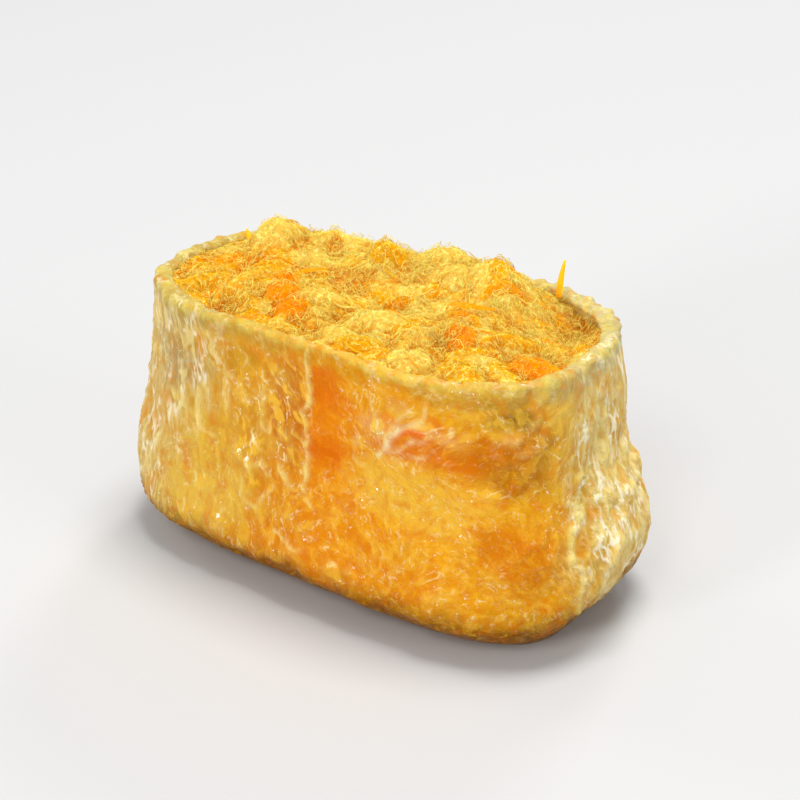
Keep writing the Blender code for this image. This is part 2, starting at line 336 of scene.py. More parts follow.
skin = {
    # creases and pale ridges: half width and rise in mm, how pale, then turn and share along each
    "lines": (
        (0.40, 0.45, 0.9, ((276.6, 0.98), (275.4, 0.85), (273.8, 0.70), (273.4, 0.58), (274, 0.48))),
        (0.60, 0.35, 0.5, ((229, 0.93), (233, 0.86), (235, 0.81), (241, 0.78), (244, 0.73))),
        (0.50, 0.25, 0.5, ((252, 0.80), (250, 0.72), (253, 0.65))),
        (0.60, 0.25, 0.5, ((214, 0.66), (221, 0.62), (226, 0.55), (231, 0.53))),
        (0.75, 0.45, 0.3, ((348, 1.0), (345, 0.96), (343.5, 0.89), (340.5, 0.85), (335, 0.84))),
        (0.60, 0.25, 0.2, ((350, 0.90), (346, 0.87), (343, 0.81), (339, 0.79))),
        (0.60, 0.50, 0.9, ((355, 0.66), (353, 0.54), (349, 0.49), (347, 0.46), (346, 0.42), (347, 0.38),
                           (348.5, 0.35), (347, 0.29), (348, 0.22))),
        (0.45, 0.25, 0.6, ((346, 0.42), (349, 0.40), (353, 0.43), (357, 0.41))),
        (1.30, 0.60, 0.3, ((5, 0.78), (5, 0.68), (5, 0.58), (1, 0.51), (359, 0.42), (357, 0.36))),
        (0.48, 0.20, 1.0, ((304, 0.71), (307.5, 0.742), (313, 0.817), (318, 0.875))),
        (0.30, 0.12, 0.85, ((306, 0.73), (311, 0.815), (315, 0.89))),
        (0.26, 0.12, 0.8, ((306, 0.72), (314, 0.775), (321, 0.835))),
        (0.35, 0.12, 0.6, ((318, 0.875), (319, 0.93))),
        (0.28, 0.12, 0.7, ((306, 0.74), (304.5, 0.80), (303.5, 0.87), (303, 0.93))),
        (0.35, 0.12, 0.5, ((296, 0.74), (293, 0.69), (293, 0.65), (300, 0.63))),
        (0.30, 0.10, 0.5, ((309, 0.715), (315, 0.735), (321, 0.775))),
        (0.45, 0.20, 0.5, ((243, 0.37), (242, 0.42), (243, 0.46), (246, 0.49), (250, 0.50), (253, 0.47))),
        (0.45, 0.20, 0.5, ((247, 0.35), (251, 0.34), (254, 0.37), (255, 0.41))),
        (0.50, 0.25, 0.6, ((259, 0.52), (265, 0.48), (271, 0.47), (276, 0.43))),
        (0.45, 0.20, 0.6, ((262, 0.29), (268, 0.26), (273, 0.28))),
        (0.50, 0.35, 0.6, ((24, 0.70), (27, 0.55), (25, 0.42), (29, 0.30))),
        (0.50, 0.30, 0.5, ((60, 0.86), (68, 0.80), (76, 0.81))),
        (0.50, 0.30, 0.5, ((104, 0.66), (113, 0.60), (120, 0.63), (128, 0.55))),
        (0.55, 0.40, 0.7, ((150, 0.80), (153, 0.64), (150, 0.48), (155, 0.34))),
        (0.50, 0.30, 0.5, ((84, 0.44), (92, 0.40), (98, 0.44))),
        (0.60, 0.35, 0.5, ((176, 0.74), (181, 0.60), (178, 0.46))),
    ),
    # the long crease that the orange stripe lies along: shares, and the turn at each
    "creaseLine": ((0.48, 0.58, 0.70, 0.85, 0.98), (274.0, 273.4, 273.8, 275.4, 276.6)),
    # shallow dents: turn, share, half width and half height in mm, depth in mm
    "dents": (
        (341, 0.90, 2.2, 1.6, 0.5), (345, 0.76, 2.4, 2.0, 0.4), (231, 0.76, 2.0, 2.4, 0.35),
        (262, 0.84, 2.4, 1.8, 0.25), (212, 0.50, 2.4, 2.6, 0.4), (286, 0.60, 2.6, 3.5, 0.3),
        (256, 0.30, 3.0, 1.8, 0.3), (330, 0.66, 3.0, 1.6, 0.25), (10, 0.56, 2.0, 3.0, 0.5),
        (354, 0.33, 2.2, 2.4, 0.45), (50, 0.62, 3.0, 2.4, 0.4), (88, 0.80, 3.0, 2.0, 0.35),
        (118, 0.46, 3.2, 2.4, 0.35), (142, 0.70, 2.6, 3.0, 0.4), (168, 0.52, 2.2, 3.0, 0.45),
        (192, 0.66, 2.0, 2.6, 0.4),
    ),
    # where the threads lie another way: x and z of the middle, half width and height in mm, lean, squeeze
    "leans": (
        (16.5, 26.6, 9.0, 6.0, 30, 0.35),
        (25.0, 23.0, 9.0, 5.0, 10, 0.45),
        (6.0, 10.0, 9.0, 6.0, -25, 0.6),
        (20.0, 9.0, 9.0, 5.0, 35, 0.6),
        (-14.0, 8.0, 7.0, 5.0, 50, 0.6),
    ),
    # tones round the pouch: turn in degrees, colour
    "ringTones": (
        (0, (236, 198, 108)), (20, (234, 194, 96)), (50, (236, 174, 42)), (90, (242, 160, 14)),
        (130, (240, 168, 30)), (160, (232, 180, 62)), (185, (212, 174, 98)), (205, (210, 172, 94)),
        (225, (222, 174, 58)), (245, (224, 154, 30)), (262, (230, 144, 18)), (276, (242, 150, 8)),
        (300, (246, 160, 6)), (325, (242, 162, 14)), (342, (232, 162, 20)), (352, (230, 176, 56)),
    ),
    # patches: turn, share, half widths in turn and share, lean, colour, strength, veil of filaments
    "patches": (
        (290, 0.74, 9.0, 0.16, 0.0, (240, 140, 4), 0.8, 0.4),
        (292, 0.48, 7.0, 0.07, 20.0, (238, 136, 0), 0.6, 0.5),
        (299, 0.79, 5.0, 0.07, 40.0, (238, 132, 16), 0.6, 0.4),
        (308, 0.76, 5.0, 0.06, 60.0, (250, 196, 120), 0.8, 1.4),
        (323, 0.82, 6.0, 0.04, 0.0, (246, 172, 92), 0.8, 1.2),
        (312, 0.89, 2.5, 0.03, 0.0, (244, 178, 84), 0.7, 1.0),
        (318, 0.80, 2.6, 0.022, 50.0, (250, 104, 46), 0.9, 0.8),
        (323, 0.885, 4.0, 0.025, 10.0, (242, 124, 20), 0.8, 0.6),
        (310, 0.83, 2.5, 0.02, 40.0, (246, 126, 10), 0.8, 0.4),
        (302, 0.72, 5.0, 0.05, 60.0, (240, 144, 28), 0.6, 0.8),
        (320, 0.745, 17.0, 0.045, 6.0, (230, 120, 0), 1.0, 0.2),
        (335, 0.785, 9.0, 0.045, 8.0, (210, 116, 0), 0.95, 0.3),
        (338, 0.71, 8.0, 0.06, 20.0, (184, 108, 0), 0.85, 0.5),
        (340, 0.885, 6.0, 0.042, 0.0, (140, 94, 10), 0.9, 0.8),
        (345, 0.835, 3.0, 0.04, 0.0, (204, 112, 0), 0.8, 0.3),
        # painted shade in the neck under the rim, at the front right
        (337, 0.955, 8.0, 0.025, 0.0, (188, 136, 18), 0.7, 0.6),
        (347, 0.80, 4.0, 0.06, 0.0, (190, 124, 20), 0.6, 0.8),
        (315, 0.59, 17.0, 0.11, 0.0, (244, 184, 56), 0.9, 0.5),
        (264, 0.72, 9.0, 0.19, 0.0, (200, 104, 10), 0.85, 1.3),
        (246, 0.60, 9.0, 0.16, 0.0, (214, 152, 40), 0.6, 1.3),
        # painted shade in the neck under the rim, at the left
        (243, 0.87, 10.0, 0.05, 0.0, (200, 140, 22), 0.6, 0.3),
        (233, 0.33, 12.0, 0.12, 0.0, (236, 190, 76), 0.7, 0.5),
        (300, 0.28, 22.0, 0.09, 0.0, (236, 138, 4), 0.5, 0.6),
        (262, 0.24, 12.0, 0.06, 0.0, (236, 138, 10), 0.5, 0.7),
        (335, 0.43, 8.0, 0.11, 0.0, (218, 124, 0), 0.9, 0.25),
        (216, 0.80, 9.0, 0.16, 0.0, (172, 140, 94), 0.8, 0.9),
        (70, 0.62, 14.0, 0.14, 0.0, (238, 168, 40), 0.7, 0.5),
        (96, 0.80, 10.0, 0.12, 0.0, (230, 114, 0), 0.8, 0.2),
        (122, 0.66, 12.0, 0.10, 30.0, (240, 156, 60), 0.6, 0.9),
        (140, 0.35, 16.0, 0.12, 0.0, (236, 178, 50), 0.6, 0.4),
        (58, 0.35, 14.0, 0.10, 0.0, (236, 140, 6), 0.6, 0.4),
    ),
    "cast": (0.835, 0.86, 0.87),  # evens the painted tones out under the lamps
}
skinTones = {
    "rim": tone(196, 150, 8),
    "paleRim": tone(172, 146, 76),
    "backRim": tone(188, 188, 152),
    "rimEdge": tone(228, 210, 96),
    # painted shade in the neck under the rolled rim
    "underRimShade": tone(204, 146, 26),
    # painted shade low on the wall, near the floor
    "base": tone(112, 60, 0),
    "line": tone(252, 238, 148),
    "swirl": tone(250, 234, 180),
    "stripe": tone(244, 144, 0),
    "deepStripe": tone(236, 118, 0),
    "pool": tone(230, 120, 0),
    "endPool": tone(206, 146, 30),
    "crest": tone(248, 208, 84),
    "endCrest": tone(250, 236, 176),
}


def unrolled(degrees, share):
    # the wall laid flat, in mm: how far round the belly, and how high up
    fine, travelled = wayRound(1441)
    flat = np.interp(np.asarray(degrees) % 360, np.degrees(fine), travelled)
    return flat, np.asarray(share) * pouch["height"], travelled[-1]


def lineRelief(spots, degrees, share):
    # rise of the drawn lines and dents in mm, and how pale the skin is along the lines
    across, up, wholeWay = unrolled(degrees, share)
    across = across + 0.5 * softNoise(spots, 1.8, 31) + 0.9 * softNoise(spots, 5, 33)
    up = up + 0.5 * softNoise(spots, 1.8, 32) + 0.9 * softNoise(spots, 5, 34)
    gapped = 0.25 + 0.75 * gentleStep(softNoise(spots, 1.7, 35), -0.4, 0.2)
    relief, pale = np.zeros(share.shape), np.zeros(share.shape)
    for halfWidth, rise, paleness, stops in skin["lines"]:
        stopAcross, stopUp, _ = unrolled([stop[0] for stop in stops], [stop[1] for stop in stops])
        nearest = np.full(share.shape, 1e9)
        for k in range(len(stops) - 1):
            along = np.array((stopAcross[k + 1] - stopAcross[k], stopUp[k + 1] - stopUp[k]))
            over = wrapped(across - stopAcross[k], wholeWay)
            rest = up - stopUp[k]
            t = np.clip((over * along[0] + rest * along[1]) / (along**2).sum(), 0, 1)
            nearest = np.minimum(nearest, np.hypot(over - t * along[0], rest - t * along[1]))
        shown = np.maximum(gapped, paleness - 0.3)
        crest = bell(nearest, halfWidth) * shown
        relief += rise * (crest - 0.35 * bell(nearest, 2.6 * halfWidth))
        pale = np.maximum(pale, paleness * bell(nearest, 0.75 * halfWidth) * shown)
    for turn, height, wide, tall, depth in skin["dents"]:
        middleAcross, middleUp, _ = unrolled(turn, height)
        relief -= depth * hill(wrapped(across - middleAcross, wholeWay), up - middleUp, wide, tall)
    return relief, pale


def foldRelief(degrees, share):
    relief = np.zeros(share.shape)
    for top, base, halfWidth, rise, low, high in pouch["folds"]:
        line = base + (top - base) * share
        along = gentleStep(share, low - 0.1, low + 0.1) - gentleStep(share, high - 0.06, high + 0.06)
        relief += rise * along * bell(turnedFrom(degrees, line), halfWidth)
    return relief


def endShare(spots, degrees, share):
    # 1 over the two drawn ends of the pouch, 0 along its front and its back
    wander = degrees + 3.5 * softNoise(spots, 6.0, 18) + 1.6 * softNoise(spots, 2.0, 19)
    waist = bell(share - 0.38, 0.2)
    right = gentleStep(turnedFrom(wander, 351 - 6 * waist), -3, 7)
    right = right * gentleStep(turnedFrom(20 + 5 * waist, wander), -3, 7)
    left = gentleStep(turnedFrom(220 + 14 * gentleStep(share, 0.4, 0.75), wander), -5, 9)
    left = left * gentleStep(turnedFrom(wander, 152 + 5 * waist), -3, 8)
    return np.maximum(right, left)


def grainPlace(spots, degrees, ends):
    # the same places, squeezed along the way the skin is drawn, so that noise on them lies along it
    upright = np.maximum(ends, 0.8 * bell(turnedFrom(degrees, 243), 34))
    place = spots.copy()
    place[..., 2] = 16 + (spots[..., 2] - 16) * (1 - 0.64 * upright)
    for x, z, wide, tall, lean, squeeze in skin["leans"]:
        over, up = spots[..., 0] - x, spots[..., 2] - z
        cos, sin = math.cos(math.radians(lean)), math.sin(math.radians(lean))
        near = gentleStep(1.3 - np.hypot(over / wide, up / tall), 0, 1) * (spots[..., 1] < 0)
        along = over * cos + up * sin
        place[..., 0] -= near * (1 - squeeze) * along * cos
        place[..., 2] -= near * (1 - squeeze) * along * sin
    return place


def skinPattern(points, degrees, share):
    # how far the skin is from its smooth form, and where its crests and its ends are
    spots = points / mm
    ends = endShare(spots, degrees, share)
    place = grainPlace(spots, degrees, ends)
    onFront = ridged(swirled(place, 3.6, 1.3, 40), pouch["wrinkleSize"], 5)
    onEnds = ridged(swirled(place, 2.6, 0.7, 44), pouch["endWrinkleSize"], 6)
    broken = gentleStep(softNoise(spots, 4.6, 3), -0.45, 0.3)
    crest = (onFront * (1 - ends) + onEnds * ends) * (0.3 + 0.7 * np.maximum(broken, 0.6 * ends))
    body = gentleStep(share, 0.02, 0.14) * (1 - 0.85 * gentleStep(share, 0.87, 0.94))
    puckers = softNoise(spots * (1, 1, 0.8), pouch["puckerSize"], 1) + 0.6 * softNoise(spots * (1, 1, 0.8), 2.7, 2)
    drawn, pale = lineRelief(spots, degrees, np.clip(share, 0, 1))
    relief = foldRelief(degrees, np.clip(share, 0, 1)) + drawn
    relief += body * pouch["pucker"] * puckers
    relief += body * 0.03 * softNoise(place, 0.9, 70)  # the finest grain
    wrinkle = pouch["wrinkle"] * (1 + 0.5 * bell(turnedFrom(degrees, 252), 24))
    relief += body * (wrinkle * (1 - ends) + pouch["endWrinkle"] * ends) * (crest - 0.35)
    # the rim is rolled: it swells a little at its edge, over a shallow neck
    relief += 0.08 * bell(share - 1.0, 0.05) - 0.07 * bell(share - 0.895, 0.035)
    # soft lumps along the rim, ragged at the back right
    ragged = bell(turnedFrom(degrees, 50), 38) * gentleStep(share, 0.93, 1.0)
    relief += gentleStep(share, 0.9, 1) * (0.25 * softNoise(spots, 2.6, 8) + 0.26 * softNoise(spots, 1.1, 10))
    relief += ragged * (0.6 * np.maximum(softNoise(spots, 1.0, 9), 0) + 0.3 * softNoise(spots, 0.6, 28))
    return relief * mm, crest, ends, place, pale


def skinColours(points, degrees, share, crest, ends, pale):
    # the skin's colour, and how thick its veil of pale filaments is
    rings = (*skin["ringTones"], (skin["ringTones"][0][0] + 360, skin["ringTones"][0][1]))
    around = np.array([turn for turn, _ in rings])
    tones = np.array([tone(*colour) for _, colour in rings])
    spots = points / mm
    wander = degrees + 4 * softNoise(spots, 7, 11) + 1.8 * softNoise(spots, 2.2, 16)
    level = share + 0.035 * softNoise(spots, 5, 12) + 0.02 * softNoise(spots, 2.0, 17)
    colour = np.stack([np.interp(wander % 360, around, tones[:, k]) for k in range(3)], axis=-1)
    pools = gentleStep(softNoise(swirled(spots, 3, 1.2, 50), 2.2, 13), -0.05, 0.5)
    poolTone = mixed(skinTones["pool"], skinTones["endPool"], ends)
    colour = mixed(colour, poolTone, (0.45 + 0.25 * ends) * pools * (1 - crest))
    veil = (0.6 + 0.4 * ends) * (1 - 0.3 * bell(turnedFrom(wander, 200), 38))
    for turn, height, wide, tall, lean, patchTone, strength, patchVeil in skin["patches"]:
        over, up = turnedFrom(wander, turn), (level - height) * 100
        angle = math.radians(lean)
        first = over * math.cos(angle) + up * math.sin(angle) * 0.6
        second = -over * math.sin(angle) * 0.6 + up * math.cos(angle)
        near = gentleStep(1.45 - np.sqrt((first / wide) ** 2 + (second / (tall * 100)) ** 2), 0, 0.9)
        colour = mixed(colour, tone(*patchTone), strength * near)
        veil = veil + (patchVeil - veil) * near
    # the smooth orange stripe along the right of the long crease
    past = turnedFrom(degrees + 0.8 * softNoise(spots, 1.6, 25), np.interp(share, *skin["creaseLine"]))
    stripe = gentleStep(past, 0.2, 2.4) * (1 - gentleStep(past + 3 * softNoise(spots, 3.0, 26), 12, 21))
    high = share + 0.012 * softNoise(spots, 2.0, 27)
    stripe *= gentleStep(high, 0.46, 0.6) * (1 - gentleStep(high, 0.94, 0.965))
    deep = np.maximum(bell(high - 0.87, 0.1), bell(high - 0.63, 0.07))
    colour = mixed(colour, mixed(skinTones["stripe"], skinTones["deepStripe"], deep), stripe)
    veil = veil * (1 - stripe * (0.6 + 0.4 * deep))
    crestTone = mixed(skinTones["crest"], skinTones["endCrest"], ends)
    colour = mixed(colour, crestTone, 0.45 * crest * veil)
    white = bell(turnedFrom(degrees, 312), 12) * gentleStep(share, 0.6, 0.7)
    colour = mixed(colour, mixed(skinTones["line"], skinTones["swirl"], white), 0.95 * pale)
    rimTurn = degrees + 5 * softNoise(spots, 2.0, 22)
    # painted shade in the neck under the rolled rim, deepest along the left
    leftRim = bell(turnedFrom(rimTurn, 225), 50)
    colour = mixed(colour, skinTones["underRimShade"], (0.1 + 0.3 * leftRim) * bell(level - 0.885, 0.04))
    backRim = bell(turnedFrom(rimTurn, 30), 55)
    paleRim = np.maximum(bell(turnedFrom(rimTurn, 200), 50), backRim)
    rimTone = mixed(skinTones["rim"], mixed(skinTones["paleRim"], skinTones["backRim"], backRim), paleRim)
    colour = mixed(colour, rimTone, (0.45 + 0.4 * paleRim) * gentleStep(level, 0.925, 0.99))
    edge = 0.5 + 0.5 * softNoise(spots, 1.3, 23)
    edge *= gentleStep(share + 0.01 * softNoise(spots, 1.6, 24), 0.985, 1.0)
    colour = mixed(colour, skinTones["rimEdge"], 0.75 * edge)
    # painted shade: the wall darker towards the bottom, near the floor
    colour = mixed(colour, skinTones["base"], 0.9 * (1 - gentleStep(level, 0.10, 0.26)))
    veil = veil * (0.25 + 0.75 * gentleStep(level, 0.12, 0.24))
    return colour * skin["cast"], veil


def makePouch():
    degrees = np.degrees(turnOfColumn)[None, :] + 0 * pouchShare
    wallShare = np.where(pouchShare > 1, 1.0, pouchShare)
    relief, crest, ends, grain, pale = skinPattern(pouchPoints, degrees, wallShare)
    fade = {"under": 0.0, "outside": 1.0, "lip": 1.0, "inside": 0.3, "floor": 0.0}
    relief *= np.array([fade[kind] for kind in ringKind])[:, None]
    points = pouchPoints + facing(pouchPoints) * relief[..., None]
    underside = ringKind == "under"
    points[underside, :, 2] = 0.12 * mm * np.maximum(softNoise(points[underside] / mm, 4.5, 15), 0)
    points[..., 2] = np.maximum(points[..., 2], 0)
    colour, veil = skinColours(pouchPoints, degrees, wallShare, crest, ends, pale)
    inner = (ringKind == "inside") | (ringKind == "floor")
    colour[inner] = mixed(colour[inner], skinTones["paleRim"], 0.8)

    bm = ringedTube(pouch["around"], len(points))
    bmesh.ops.poke(bm, faces=[face for face in bm.faces if len(face.verts) > 4])
    mesh = meshFrom(bm, "tofuPouch")

    # each corner of the plain tube goes to its ring and column, and the middles of the caps to theirs
    place = pointsOf(mesh)
    pole = np.hypot(place[:, 0], place[:, 1]) < 0.5
    column = np.round(np.arctan2(place[:, 1], place[:, 0]) / math.tau * pouch["around"]).astype(int)
    column %= pouch["around"]
    ring = np.round((place[:, 2] + 0.5) * (len(points) - 1)).astype(int)
    moved = points[ring, column]
    moved[pole] = points.mean(axis=1)[ring[pole]]
    mesh.vertices.foreach_set("co", moved.ravel())
    addColour(mesh, "skinColour", colour[ring, column])
    addValue(mesh, "ends", np.maximum(ends, 0.55 * gentleStep(wallShare, 0.92, 0.98))[ring, column])
    addPlace(mesh, "grain", grain[ring, column])
    waxy = np.maximum(gentleStep(wallShare, 0.9, 0.97), inner[:, None])
    addValue(mesh, "veil", (veil * (1 - 0.3 * waxy))[ring, column])
    return placed("tofuPouch", mesh)


floss = {
    "cell": 0.12,  # spacing of the height map, mm
    "rise": 1.9,  # how far the heap's dome stands over the rim's shoulder
    "meets": 0.35,  # how far over the rim's shoulder the floss meets the skin
    # broad mounds: x, y, half widths, rise, all in drawn mm
    "mounds": (
        (-17.8, 3.0, 3.9, 4.2, 3.8), (-9.2, 8.7, 3.5, 3.5, 1.4), (-13.2, 7.6, 2.2, 2.6, 1.6),
        (-3.9, 5.2, 3.5, 3.9, 2.4), (4.3, 7.0, 5.2, 4.3, 2.8), (11.8, 7.4, 4.6, 3.9, 3.2),
        (-11.3, -9.1, 5.7, 2.6, 1.0), (-18.7, -9.1, 3.5, 3.0, -1.2), (2.6, -2.6, 6.1, 3.0, -0.9),
        (9.6, -5.2, 6.1, 3.5, 1.4), (20.9, 7.0, 4.8, 4.8, -1.9), (22.2, -3.0, 5.2, 3.0, -0.3),
    ),
    # how many clumps in all; those without their own place get these sizes in mm, headings and warmth
    "clumps": 360,
    "clumpHeading": (15, 38), "clumpWarmth": (-0.3, 0.38),  # mean and spread
    "clumpLength": (1.0, 2.8), "clumpWidth": (0.7, 1.4), "clumpRise": (0.28, 0.7),
    # clumps with their own place: x, y, half length, half width, heading in degrees, rise, warmth
    "keyClumps": (
        (-17.6, 1.8, 3.2, 2.4, 20, 1.2, -0.9), (-14.6, -7.2, 5.2, 1.3, 62, 1.7, -0.5),
        (-17.0, -8.6, 2.8, 1.2, 50, 0.9, 0.9), (-16.6, -13.6, 2.2, 1.5, 10, 1.3, 0.55),
        (-21.4, -3.0, 1.8, 1.2, 30, 1.2, 0.7), (-20.6, -8.0, 2.4, 1.6, 80, 1.4, -0.3),
        (-8.6, -7.6, 2.7, 1.9, 70, 1.4, 1.0), (-5.6, -10.0, 2.2, 1.4, 60, 1.2, 0.95),
        (-8.6, -13.2, 2.6, 1.0, 15, 0.9, 0.9), (-5.0, -5.4, 3.6, 1.9, 20, 1.4, -0.5),
        (-11.4, -4.0, 1.8, 1.1, 40, 1.2, 0.7), (-3.2, 4.8, 2.6, 2.2, 0, 1.6, 0.5),
        (2.8, 8.2, 4.2, 2.4, 10, 1.5, -0.6), (3.8, -7.4, 4.2, 2.0, 5, 1.5, -0.7),
        (5.6, -12.2, 2.8, 1.5, 10, 1.5, 0.2), (8.2, -12.2, 1.8, 1.2, 30, 1.2, 0.6),
        (2.9, -0.6, 2.4, 1.2, 15, 1.2, 0.75), (5.8, 2.4, 2.2, 1.1, 20, 1.2, 0.7),
        (13.0, 5.0, 2.6, 0.7, 32, 1.3, 0.8), (11.6, -0.6, 2.4, 1.1, -10, 1.4, 0.7),
        (14.0, -4.4, 2.3, 1.8, 70, 1.3, 1.0), (19.0, -1.2, 3.6, 1.2, 38, 1.7, 0.1),
        (20.4, 3.8, 1.2, 1.0, 60, 0.9, 1.0), (23.6, -3.6, 3.8, 1.5, 24, 1.6, 1.05),
        (18.0, -10.2, 2.6, 1.5, 10, 1.3, 0.4), (11.6, -11.2, 2.8, 1.6, 0, 1.3, -0.5),
        (-21.0, -12.6, 1.6, 1.2, 100, 1.1, 0.3), (10.0, 8.6, 2.8, 1.6, -10, 1.1, 0.5),
    ),
    # hollows full of loose fibres, with painted shade down in them: x, y, half width, depth
    "hollows": ((-13.6, -11.6, 2.4, 1.4), (20.6, 10.0, 4.4, 2.0), (-0.4, -7.4, 2.0, 1.3),
                (12.6, -6.4, 2.2, 1.2), (2.8, -2.4, 1.8, 1.0), (18.6, 1.6, 2.0, 0.9),
                (-1.6, -12.4, 1.6, 1.0), (16.2, -12.4, 1.6, 0.8), (-17.4, -5.0, 1.4, 0.9)),
}
flossTones = {
    "pale": tone(231, 214, 106),
    "golden": tone(226, 176, 12),
    "orange": tone(240, 140, 0),
    # painted shade for the crevices and the deepest hollows
    "creviceShade": tone(226, 124, 0),
    "pitShade": tone(176, 88, 0),
    "fibre": tone(246, 232, 122),
}


def mouthReach(turn, inset):
    return np.hypot(*outline(turn, np.ones_like(turn), inset))


def makeHeightMap():
    # heights, warmth and the run of the fibres on a fine grid over the mouth
    cell = floss["cell"]
    xs = np.arange(-30, 30, cell)
    ys = np.arange(-17.5, 17.5, cell)
    x, y = np.meshgrid(xs, ys, indexing="ij")
    turn = np.arctan2(y, x)
    reach = mouthReach(turn, pouch["wall"])
    # 0 at the skin, rising to 1 at the middle of the mouth
    nearness = 1 - np.hypot(x, y) / reach
    edge = rimHeight(turn) + floss["meets"]
    dome = pouch["height"] + floss["rise"] - edge
    flat = np.stack((x, y, 0 * x), axis=-1)
    mounds = sum(rise * hill(x - cx, y - cy, wide, deep) for cx, cy, wide, deep, rise in floss["mounds"])
    height = edge + dome * gentleStep(nearness, 0, 0.45) + mounds * gentleStep(nearness, 0, 0.2)

    chance = np.random.default_rng(31)
    clumps = list(floss["keyClumps"])
    while len(clumps) < floss["clumps"]:
        place = chance.uniform((-27, -14.5), (27, 14.5))
        if 1 - np.hypot(*place) / mouthReach(np.arctan2(place[1], place[0]), pouch["wall"]) < 0.03:
            continue
        size = [chance.uniform(*floss[key]) for key in ("clumpLength", "clumpWidth", "clumpRise")]
        heading = chance.normal(*floss["clumpHeading"])
        warmth = np.clip(chance.normal(*floss["clumpWarmth"]), -1, 1)
        clumps.append((*place, size[0], size[1], heading, size[2], warmth))

    bent = swirled(flat, 2.6, 0.7, 60)
    hardness = 5.0  # the higher, the sharper the valleys where clumps meet
    weight = np.full(x.shape, 1.0)
    warm = np.zeros(x.shape)
    flow = np.zeros((*x.shape, 2))
    for index, (cx, cy, length, width, heading, rise, warmth) in enumerate(clumps):
        near = (abs(xs - cx) < length * 1.5 + 1), (abs(ys - cy) < length * 1.5 + 1)
        spot = np.ix_(*near)
        angle = math.radians(heading)
        over, up = bent[spot][..., 0] - cx, bent[spot][..., 1] - cy
        u = over * math.cos(angle) + up * math.sin(angle)
        v = -over * math.sin(angle) + up * math.cos(angle)
        inside = np.maximum(1 - (u / length) ** 2 - (v / width) ** 2, 0)
        strands = softNoise(np.stack((u * 0.3, v * 1.6, 0 * u + index), axis=-1), 0.55, 61)
        strands += 0.6 * softNoise(np.stack((u * 0.5, v * 2.4, 0 * u + index), axis=-1), 0.4, 62)
        lift = rise * inside**0.6 + 0.05 * strands * (inside > 0)
        strong = np.exp(hardness * lift) - 1
        weight[spot] += strong
        warm[spot] += strong * warmth
        flow[spot] += strong[..., None] * (math.cos(2 * angle), math.sin(2 * angle))
    relief = np.log(weight) / hardness
    # warmer at the front left, paler at the back
    warm = warm / weight + 0.3 * gentleStep(-x, 4, 14) * gentleStep(-y, -1, 3)
    warm = warm - 0.3 * hill(x - 4, y - 6, 11, 6)
    heading = 0.5 * np.arctan2(flow[..., 1], flow[..., 0] + 1e-6)
    # the crevice mask, 1 down in the crevices, where painted shade is laid
    shade = 1 - gentleStep(relief, 0.04, 0.45)  # 1 down in the crevices
    pitShade = np.zeros(x.shape)
    settle = 0.35 + 0.65 * gentleStep(nearness, 0, 0.07)
    height = height + settle * (relief - 0.7)
    for cx, cy, half, depth in floss["hollows"]:
        low = np.exp(-((x - cx) ** 2 + (y - cy) ** 2) / half**2)
        height -= depth * low * settle
        shade = np.maximum(shade, 0.75 * low)
        pitShade = np.maximum(pitShade, low)
    # the felted grain of the floss, with fine crests where fibres bunch
    height += 0.16 * ridged(bent, 0.9, 63, 2) + 0.10 * softNoise(flat, 0.42, 66) - 0.06
    return {"x": xs, "y": ys, "height": height, "warm": warm, "shade": shade, "pitShade": pitShade,
            "heading": heading}


heap = makeHeightMap()
print("heap map ready")


def readHeap(key, x, y):
    # the map's value at drawn x and y, between its cells
    cell = floss["cell"]
    across = np.clip((x - heap["x"][0]) / cell, 0, len(heap["x"]) - 2.001)
    deep = np.clip((y - heap["y"][0]) / cell, 0, len(heap["y"]) - 2.001)
    i, j = across.astype(int), deep.astype(int)
    u, v = across - i, deep - j
    grid = heap[key]
    low = grid[i, j] * (1 - u) + grid[i + 1, j] * u
    return low * (1 - v) + (grid[i, j + 1] * (1 - u) + grid[i + 1, j + 1] * u) * v


def flossColours(x, y):
    warm, shade = readHeap("warm", x, y), readHeap("shade", x, y)
    colour = mixed(flossTones["golden"], flossTones["pale"], gentleStep(-warm, 0.0, 0.55))
    colour = mixed(colour, flossTones["orange"], gentleStep(warm, 0.25, 0.95))
    # painted shade: deeper orange down in the crevices and darker brown in the hollows, also taken by the fibres
    # rooted there
    colour = mixed(colour, flossTones["creviceShade"], 0.75 * shade * (0.5 + 0.5 * gentleStep(warm, -0.5, 0.2)))
    return mixed(colour, flossTones["pitShade"], 0.45 * readHeap("pitShade", x, y) ** 2)


def orderKey(place):
    # a different number for each place on the core's plain grid
    return place.z * 1e5 + place.y * 1e3 + place.x


